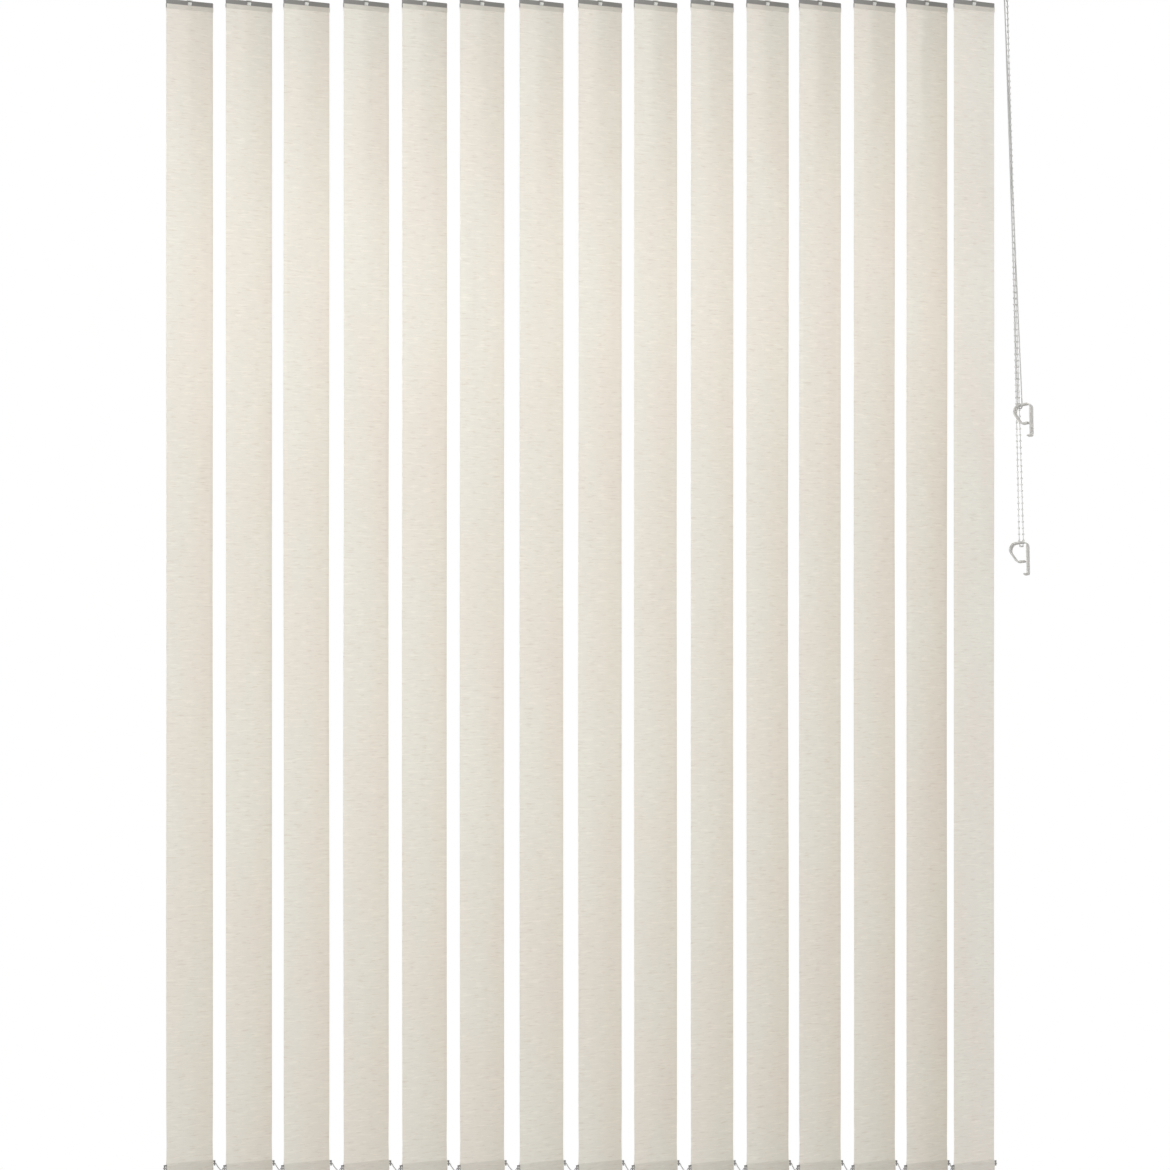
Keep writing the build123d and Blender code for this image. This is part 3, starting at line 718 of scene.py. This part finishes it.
def plate(name, outlines, thickness, edge):
    """A flat plate with holes and eased edges, lying across a slat: x across, y up."""
    curve = bpy.data.curves.new(name, "CURVE")
    curve.dimensions = "2D"
    curve.fill_mode = "BOTH"
    curve.extrude = (thickness / 2 - edge) * MM
    curve.bevel_depth = edge * MM
    curve.bevel_resolution = 2
    curve.offset = -edge * MM
    for outline in outlines:
        spline = curve.splines.new("POLY")
        spline.points.add(len(outline) - 1)
        for point, (x, y) in zip(spline.points, outline):
            point.co = (x * MM, y * MM, 0, 1)
        spline.use_cyclic_u = True
    holder = bpy.data.objects.new(name, curve)
    mesh = bpy.data.meshes.new_from_object(holder)
    bpy.data.objects.remove(holder)
    bpy.data.curves.remove(curve)
    mesh.transform(Matrix((ACROSS, UP, -OUT)).transposed().to_4x4())
    mend(mesh, merge=True)
    smooth(mesh)
    return mesh


# ---------------------------------------------------------------- fabric

def resampled(points, step):
    """The points of a line with more between them, no further apart than step."""
    made = [points[0]]
    for a, b in zip(points, points[1:]):
        parts = max(1, math.ceil(math.dist(a, b) / step))
        made += [(a[0] + (b[0] - a[0]) * n / parts, a[1] + (b[1] - a[1]) * n / parts)
                 for n in range(1, parts + 1)]
    return made


def fabric_lines():
    """The fabric from the side, as (offset, height): the strip with its foot pocket, and the hem's back."""
    fold = [(-POCKET_OFFSET * math.cos(math.radians(a)), FOLD - POCKET_OFFSET * math.sin(math.radians(a)))
            for a in range(0, 181, 20)]
    seam, seam_back = ([(offset, SEAM + rise) for offset, rise in steps]
                       for steps in (SEAM_STEPS, SEAM_BACK_STEPS))
    strip = [(-HEM_OFFSET, HEM_TOP)] + HEM_STEPS
    strip += resampled([HEM_STEPS[-1], (0, SEAM + SEAM_LEAD)], STRIP_STEP)[1:]
    strip += seam
    strip += resampled([seam[-1], fold[0]], POCKET_STEP)[1:]
    strip += fold[1:]
    strip += resampled([fold[-1], seam_back[0]], POCKET_STEP)[1:]
    strip += seam_back[1:]
    return strip, [(HEM_OFFSET, HEM_TOP)] + HEM_BACK_STEPS


def fabric_mesh(name, station, ripple, shift, columns=14):
    """One slat's fabric as closed sheets of real thickness, with a UV map in metres."""
    bow, bow_phase, twist, twist_phase, cup = ripple
    verts, faces, uvs = [], [], []
    for line in fabric_lines():
        run = [0.0]
        for a, b in zip(line, line[1:]):
            run.append(run[-1] + math.dist(a, b))
        first = len(verts)
        rows = len(line)
        for face in (1, -1):
            for n, (offset, z) in enumerate(line):
                before, after = line[max(n - 1, 0)], line[min(n + 1, rows - 1)]
                length = math.dist(before, after)
                lean = ((before[1] - after[1]) / length, (after[0] - before[0]) / length)
                fall = (HEM_TOP - z) / (HEM_TOP - SEAM)
                free = math.sin(math.pi * min(max(fall, 0), 1))
                waist = WAIST_SHARE * math.exp(-((z - WAIST_LEVEL) / WAIST_REACH) ** 2)
                half = SLAT_WIDTH / 2 * (1 - waist)
                for k in range(columns + 1):
                    share = k / columns * 2 - 1
                    wave = free * (bow * math.sin(BOW_WAVES * math.pi * fall + bow_phase)
                                   + twist * share * math.sin(TWIST_WAVES * math.pi * fall + twist_phase)
                                   + cup * (share * share - CUP_LEVEL))
                    proud = offset + wave + face * lean[0] * CLOTH / 2
                    place = ACROSS * (half * share) + OUT * proud + UP * (z + face * lean[1] * CLOTH / 2)
                    verts.append((place + Vector((station, 0, 0))) * MM)
        width = columns + 1

        def corner(face, n, k):
            return first + face * rows * width + n * width + k

        def mark(n, k):
            return ((k / columns * SLAT_WIDTH + shift) * MM, run[n] * MM)

        def quad(*corners):
            faces.append([corner(*c) for c in corners])
            uvs.extend(mark(n, k) for _, n, k in corners)

        for n in range(rows - 1):
            for k in range(columns):
                quad((0, n, k), (0, n, k + 1), (0, n + 1, k + 1), (0, n + 1, k))
                quad((1, n, k), (1, n + 1, k), (1, n + 1, k + 1), (1, n, k + 1))
            quad((0, n, 0), (0, n + 1, 0), (1, n + 1, 0), (1, n, 0))
            quad((0, n, columns), (1, n, columns), (1, n + 1, columns), (0, n + 1, columns))
        for k in range(columns):
            quad((0, 0, k), (1, 0, k), (1, 0, k + 1), (0, 0, k + 1))
            quad((0, rows - 1, k), (0, rows - 1, k + 1), (1, rows - 1, k + 1), (1, rows - 1, k))
    mesh = bpy.data.meshes.new(name)
    mesh.from_pydata(verts, [], faces)
    layer = mesh.uv_layers.new(name="UVMap")
    layer.data.foreach_set("uv", np.array(uvs, float).ravel())
    smooth(mesh, 40.0)
    return mesh


def fabric_cut():
    """Length of fabric in one slat, in metres: the long strip and the hem's back."""
    return sum(math.dist(a, b) for line in fabric_lines() for a, b in zip(line, line[1:])) * MM


def pocket_mark():
    """How far down the strip the foot pocket starts, in metres."""
    strip = fabric_lines()[0]
    run = 0.0
    for a, b in zip(strip, strip[1:]):
        if a[1] <= SEAM:
            return run * MM
        run += math.dist(a, b)


# ---------------------------------------------------------------- looks

bpy.context.scene.view_settings.view_transform = "Standard"

GROUPS = {"grain": grain_group(), "brushed": brushed_group(), "dust": dust_group()}
BEAD_TREE = bead_string_tree()

fabric = slat_fabric("slat fabric", pocket_mark())
hanger_grey = moulded("hanger grey plastic", (0.25, 0.245, 0.235), 0.33, grain=500.0, variation=0.12)
hook_white = moulded("hook white acetal", (0.82, 0.82, 0.80), 0.32)
weight_grey = moulded("weight grey plastic", (0.16, 0.16, 0.155), 0.5, grain=400.0, variation=0.14, dust=0.3)
chain_grey = moulded("bottom chain plastic", (0.42, 0.42, 0.41), 0.38)
button_grey = moulded("chain button plastic", (0.30, 0.30, 0.30), 0.4)
bead_white = moulded("control bead plastic", (0.62, 0.62, 0.61), 0.3)
core_white = braided_cord("bead cord thread", (0.5, 0.5, 0.5), 2 * CORE_RADIUS * MM)
cord_white = braided_cord("draw cord braid", (0.50, 0.50, 0.49), 2 * CORD_RADIUS * MM)
clip_clear = moulded("clip translucent plastic", (0.56, 0.55, 0.525), 0.3, grain=300.0, variation=0.1,
                     coat=0.2)
rail_paint = moulded("headrail baked paint", (0.80, 0.80, 0.785), 0.32, grain=1500.0, relief=0.12, dust=0.18,
                     coat=0.3)
cap_plastic = moulded("end housing plastic", (0.76, 0.76, 0.74), 0.4, grain=1200.0, relief=0.35, dust=0.18)
drive_plastic = moulded("drive nylon", (0.70, 0.69, 0.64), 0.42, variation=0.08)
carrier_plastic = moulded("carrier acetal", (0.72, 0.72, 0.70), 0.36, dust=0.25)
bracket_steel = drawn_metal("bracket zinc steel", (0.62, 0.63, 0.65), 0.38, lines=(500.0, 30.0, 500.0),
                            cloud=220.0, dust=0.3)
rod_aluminium = drawn_metal("tilt rod aluminium", (0.72, 0.73, 0.74), 0.3, lines=(15.0, 1200.0, 1200.0))
spacer_steel = drawn_metal("spacer spring steel", (0.50, 0.51, 0.53), 0.26, lines=(15.0, 1500.0, 1500.0),
                           cloud=90.0)

camera()
surroundings()
floor()
for light in LIGHTS:
    area_light(*light)


# ---------------------------------------------------------------- cords

def taut_cord(name, route, node):
    """A braided cord along a route, in millimetres."""
    line = spline_line(route)
    obj = make_piece(name, tube(name, line, CORD_RADIUS * MM), cord_white, "headrail", "cord_braid", node)


taut_cord("draw_cord_loop", LOOP_ROUTE, "draw_cord")
taut_cord("rail_cord_front", FRONT_ROUTE, "rail_cord")
taut_cord("rail_cord_back", BACK_ROUTE, "rail_cord")


def control_chain():
    """The tilt control's bead chain: a thin cord that leaves the sprocket, hangs in a loop and returns."""
    line = spline_line(CHAIN_ROUTE)
    core = make_piece("tilt_chain_cord", tube("tilt_chain_cord", line, CORE_RADIUS * MM, 8), core_white,
                      "headrail", "cord_braid", "tilt_chain")
    beads = string_of_beads("tilt_chain_beads", line, BEAD_RADIUS, BEAD_PITCH, CORE_RADIUS * INNER_CORE,
                            bead_white)
    bead_piece = make_piece("tilt_chain_beads", beads, bead_white, "headrail", "bead_plastic", "tilt_chain")


control_chain()


def bottom_chain(side, label):
    """The light chain from ear to ear, one piece for each gap."""
    node = label + "_chain"
    for n, gap in enumerate(GAPS):
        ear = STATIONS[n] + side * EAR_REACH * ACROSS.x
        y = side * EAR_REACH * ACROSS.y
        start = ear + CHAIN_START
        span = gap - 2 * CHAIN_START
        sag = math.sqrt(3 / 8 * span * (CHAIN_SPAN - span))
        route = [(start + span * share, y, BUTTON_Z - sag * drop) for share, drop in CHAIN_SAG]
        line = spline_line(route)
        name = f"{node}_{n + 1:02d}"
        mesh = string_of_beads(name, line, CHAIN_BEAD, CHAIN_PITCH, CHAIN_CORE, chain_grey)
        obj = make_piece(name, mesh, chain_grey, node, "chain_plastic", node)
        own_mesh(obj)


bottom_chain(-1, "front")
bottom_chain(1, "back")


# ---------------------------------------------------------------- slats, carriers and the fixed parts

def slats():
    """Fifteen slats: hook stem, hanger, fabric, weight and the chain's two button rings."""
    made = solids("slat_01")
    stem, weight = made[0], made[-1]
    for mesh in (stem, weight):
        smooth(mesh)
    hanger = plate("hanger", [rounded_outline(HANGER, 1.6), rounded_outline(HANGER_HOLE, 1.5)],
                   HANGER_THICK, 0.35)
    draw = random.Random(RIPPLE_SEED)
    cut = fabric_cut()
    for n, station in enumerate(STATIONS):
        tag = f"_{n + 1:02d}"
        body = "slat" + tag
        shift = Vector(((station - STATIONS[0]) * MM, 0, 0))
        place = Vector((station * MM, 0, 0))
        make_piece("stem" + tag, moved(stem, "stem" + tag, shift), hook_white, body, "stem_plastic", body)
        make_piece("hanger" + tag, moved(hanger, "hanger" + tag, place), hanger_grey, body,
                   "hanger_plastic", body)
        make_piece("weight" + tag, moved(weight, "weight" + tag, shift), weight_grey, body,
                   "weight_plastic", body)
        ripple = [draw.uniform(*limits) for limits in RIPPLE]
        mesh = fabric_mesh("cloth" + tag, station, ripple, PATTERN_SHIFT * n)
        cloth = make_piece("cloth" + tag, mesh, fabric, body, "slat_cloth", body)
        rings = []
        for side in (-1, 1):
            centre = Vector((station, 0, BUTTON_Z)) + ACROSS * (side * EAR_REACH)
            rings.append(lathe_ring("ring", centre, *BUTTON))
        make_piece("buttons" + tag, join("buttons" + tag, rings), button_grey, body, "chain_plastic")


def prism(name, outline, low, high):
    """A closed prism from an outline of (x, z) points, between two places on Y, in millimetres."""
    size = len(outline)
    verts = [(x * MM, y * MM, z * MM) for y in (low, high) for x, z in outline]
    faces = [tuple(range(size)), tuple(range(2 * size - 1, size - 1, -1))]
    faces += [(k, size + k, size + (k + 1) % size, (k + 1) % size) for k in range(size)]
    mesh = bpy.data.meshes.new(name)
    mesh.from_pydata(verts, [], faces)
    mend(mesh)
    return mesh


def carriers():
    """Carriers, and the spring strips that space them: each reaches left and climbs over the next one."""
    glider = solids("carrier_01")[0]
    smooth(glider)
    top = SPACER_LEVEL + SPACER_THICK
    end = SPACER_LEVEL + SPACER_RISE
    inner = SPACER_THICK - SPACER_REACH
    outline = [(SPACER_ROOT, SPACER_LEVEL), (SPACER_ROOT, top), (0, top),
               (inner, end + SPACER_THICK * (1 - SPACER_RISE / SPACER_REACH)), (inner, end + SPACER_LIP),
               (-SPACER_REACH, end + SPACER_LIP), (-SPACER_REACH, end), (0, SPACER_LEVEL)]
    post = [(POST_START, POST_FOOT), (SPACER_ROOT, POST_FOOT), (SPACER_ROOT, SPACER_LEVEL),
            (POST_START, SPACER_LEVEL)]
    strip = join("spacer", [prism("strip", outline, -SPACER_HALF, SPACER_HALF),
                            prism("post", post, -SPACER_HALF, SPACER_HALF)])
    for n, station in enumerate(STATIONS):
        tag = f"_{n + 1:02d}"
        node = "carrier" + tag
        body = node if n < len(STATIONS) - 1 else "headrail"
        shift = Vector(((station - STATIONS[0]) * MM, 0, 0))
        make_piece("glider" + tag, moved(glider, "glider" + tag, shift), carrier_plastic, body,
                   "carrier_plastic", node)
        if n:
            place = Vector((station * MM, 0, 0))
            make_piece("spacer" + tag, moved(strip, "spacer" + tag, place), spacer_steel, body,
                       "spacer_steel", node)


slats()
carriers()

FINISHES = {"headrail": rail_paint, "end_cap_control": cap_plastic, "end_cap_idle": cap_plastic,
            "ceiling_brackets": bracket_steel, "tilt_rod": rod_aluminium, "chain_sprocket": drive_plastic,
            "cord_pulley_front": drive_plastic, "cord_pulley_back": drive_plastic,
            "idle_pulley": drive_plastic, "p_clips": clip_clear}
FINISHES.update({f"worm_{n + 1:02d}": drive_plastic for n in range(len(STATIONS))})
for node, material in FINISHES.items():
    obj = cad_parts[node]
    if not obj.material_slots:
        obj.data.materials.append(material)
    for place in obj.material_slots:
        place.material = material
